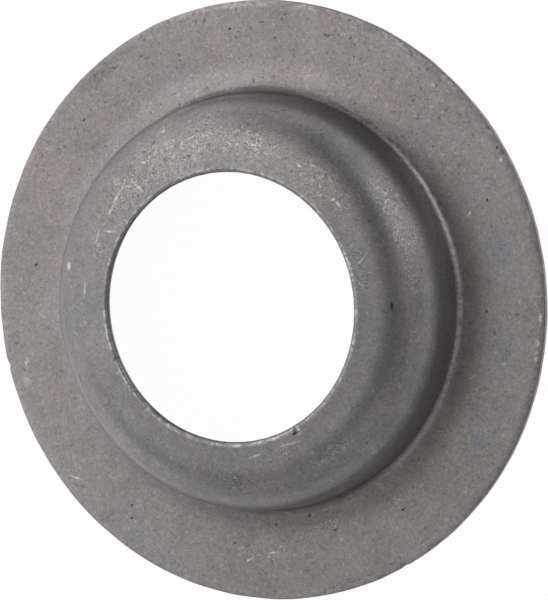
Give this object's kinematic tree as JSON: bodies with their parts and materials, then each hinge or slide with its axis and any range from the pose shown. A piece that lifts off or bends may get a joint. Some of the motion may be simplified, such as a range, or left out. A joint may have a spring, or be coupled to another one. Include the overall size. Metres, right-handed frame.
{
  "type": "valve spring seat",
  "caption": "Round pressed-steel seat with a flat flange that carries a valve spring and a raised, open-topped boss that centres the spring around the valve guide.",
  "frame": {"origin": "centre of the flange's underside, on the axis of the bore", "axes": "+Z along the axis of the bore, from the flange towards the top of the boss; the part is round, so X and Y are any two directions across it"},
  "size_m": [0.04, 0.04, 0.0073],
  "materials": {
    "pressed_steel": "bare pressed steel sheet, tumbled and dulled to a mottled mid grey, with brighter rubbed edges and small pits and scratches"
  },
  "bodies": {
    "root": {"spring_seat": "pressed_steel"}
  },
  "joints": []
}
